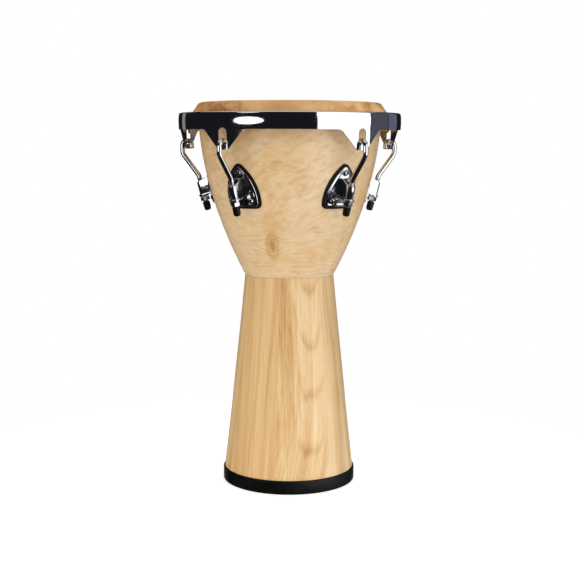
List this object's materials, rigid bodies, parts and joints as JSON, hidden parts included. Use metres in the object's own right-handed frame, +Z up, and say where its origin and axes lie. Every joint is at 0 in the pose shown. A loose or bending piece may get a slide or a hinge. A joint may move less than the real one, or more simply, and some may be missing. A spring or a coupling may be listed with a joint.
{
  "type": "goblet hand drum",
  "caption": "Goblet-shaped hand drum: wooden bowl on a staved stem, rawhide head on a bearing edge, drawn down by a chromed crown, tension hooks and nuts.",
  "frame": {"origin": "centre of the foot ring's underside, on the floor, on the drum's axis", "axes": "+Z up along the drum's axis towards the head; -Y is the player-facing side, midway between two lugs; +X to the right seen from there"},
  "size_m": [0.3588, 0.3664, 0.614],
  "materials": {
    "bowl_wood": "clear satin lacquer over figured pale hardwood",
    "stave_wood": "clear satin lacquer over straight-grained pale hardwood staves",
    "foot_rubber": "moulded satin",
    "rawhide": "natural hide, scraped",
    "hoop_steel": "plain drawn wire",
    "chrome": "polished plating",
    "gasket_rubber": "matte sheet",
    "cast_chrome": "polished plating over a casting",
    "bolt_chrome": "bright plating",
    "zinc_steel": "zinc plated",
    "cap_rubber": "moulded satin"
  },
  "bodies": {
    "root": {"bowl": "bowl_wood", "stem_stave_1": "stave_wood", "stem_stave_2": "stave_wood", "stem_stave_3": "stave_wood", "stem_stave_4": "stave_wood", "stem_stave_5": "stave_wood", "stem_stave_6": "stave_wood", "stem_stave_7": "stave_wood", "rubber_foot": "foot_rubber", "drum_skin": "rawhide", "plate_gasket_1": "gasket_rubber", "plate_gasket_2": "gasket_rubber", "plate_gasket_3": "gasket_rubber", "plate_gasket_4": "gasket_rubber", "plate_gasket_5": "gasket_rubber", "side_plate_1": "cast_chrome", "side_plate_2": "cast_chrome", "side_plate_3": "cast_chrome", "side_plate_4": "cast_chrome", "side_plate_5": "cast_chrome", "plate_bolts_1": "bolt_chrome", "plate_bolts_2": "bolt_chrome", "plate_bolts_3": "bolt_chrome", "plate_bolts_4": "bolt_chrome", "plate_bolts_5": "bolt_chrome", "backing_plate_1": "zinc_steel", "backing_plate_2": "zinc_steel", "backing_plate_3": "zinc_steel", "backing_plate_4": "zinc_steel", "backing_plate_5": "zinc_steel", "plate_nuts_1": "zinc_steel", "plate_nuts_2": "zinc_steel", "plate_nuts_3": "zinc_steel", "plate_nuts_4": "zinc_steel", "plate_nuts_5": "zinc_steel", "lug_washers": "bolt_chrome"},
    "crown": {"crown_rim": "chrome", "flesh_hoop": "hoop_steel"},
    "hook_1": {"tension_hook_1": "chrome", "hook_cap_1": "cap_rubber"},
    "nut_1": {"lug_nut_1": "bolt_chrome"},
    "hook_2": {"tension_hook_2": "chrome", "hook_cap_2": "cap_rubber"},
    "nut_2": {"lug_nut_2": "bolt_chrome"},
    "hook_3": {"tension_hook_3": "chrome", "hook_cap_3": "cap_rubber"},
    "nut_3": {"lug_nut_3": "bolt_chrome"},
    "hook_4": {"tension_hook_4": "chrome", "hook_cap_4": "cap_rubber"},
    "nut_4": {"lug_nut_4": "bolt_chrome"},
    "hook_5": {"tension_hook_5": "chrome", "hook_cap_5": "cap_rubber"},
    "nut_5": {"lug_nut_5": "bolt_chrome"}
  },
  "joints": [
    {"name": "crown_slide", "type": "slide", "parent": "root", "child": "crown", "axis": [0, 0, 1], "range_m": [-0.005, 0.001], "deforming": ["drum_skin"]},
    {"name": "hook_1_slide", "type": "slide", "parent": "root", "child": "hook_1", "axis": [0.162, -0.223, 0.9613], "range_m": [-0.0053, 0.0011]},
    {"name": "nut_1_turn", "type": "hinge", "parent": "root", "child": "nut_1", "pos_m": [0.0867, -0.11933, 0.467], "axis": [0.162, -0.223, 0.9613], "range_deg": [-310, 1510]},
    {"name": "hook_2_slide", "type": "slide", "parent": "root", "child": "hook_2", "axis": [0.2621, 0.0852, 0.9613], "range_m": [-0.0053, 0.0011]},
    {"name": "nut_2_turn", "type": "hinge", "parent": "root", "child": "nut_2", "pos_m": [0.14028, 0.04558, 0.467], "axis": [0.2621, 0.0852, 0.9613], "range_deg": [-310, 1510]},
    {"name": "hook_3_slide", "type": "slide", "parent": "root", "child": "hook_3", "axis": [0, 0.2756, 0.9613], "range_m": [-0.0053, 0.0011]},
    {"name": "nut_3_turn", "type": "hinge", "parent": "root", "child": "nut_3", "pos_m": [0, 0.1475, 0.467], "axis": [0, 0.2756, 0.9613], "range_deg": [-310, 1510]},
    {"name": "hook_4_slide", "type": "slide", "parent": "root", "child": "hook_4", "axis": [-0.2621, 0.0852, 0.9613], "range_m": [-0.0053, 0.0011]},
    {"name": "nut_4_turn", "type": "hinge", "parent": "root", "child": "nut_4", "pos_m": [-0.14028, 0.04558, 0.467], "axis": [-0.2621, 0.0852, 0.9613], "range_deg": [-310, 1510]},
    {"name": "hook_5_slide", "type": "slide", "parent": "root", "child": "hook_5", "axis": [-0.162, -0.223, 0.9613], "range_m": [-0.0053, 0.0011]},
    {"name": "nut_5_turn", "type": "hinge", "parent": "root", "child": "nut_5", "pos_m": [-0.0867, -0.11933, 0.467], "axis": [-0.162, -0.223, 0.9613], "range_deg": [-310, 1510]}
  ],
  "couplings": [
    {"joint": "hook_1_slide", "follows": "crown_slide", "ratio": 1.0403},
    {"joint": "nut_1_turn", "follows": "crown_slide", "rad_per_m": -5229.1},
    {"joint": "hook_2_slide", "follows": "crown_slide", "ratio": 1.0403},
    {"joint": "nut_2_turn", "follows": "crown_slide", "rad_per_m": -5229.1},
    {"joint": "hook_3_slide", "follows": "crown_slide", "ratio": 1.0403},
    {"joint": "nut_3_turn", "follows": "crown_slide", "rad_per_m": -5229.1},
    {"joint": "hook_4_slide", "follows": "crown_slide", "ratio": 1.0403},
    {"joint": "nut_4_turn", "follows": "crown_slide", "rad_per_m": -5229.1},
    {"joint": "hook_5_slide", "follows": "crown_slide", "ratio": 1.0403},
    {"joint": "nut_5_turn", "follows": "crown_slide", "rad_per_m": -5229.1}
  ]
}
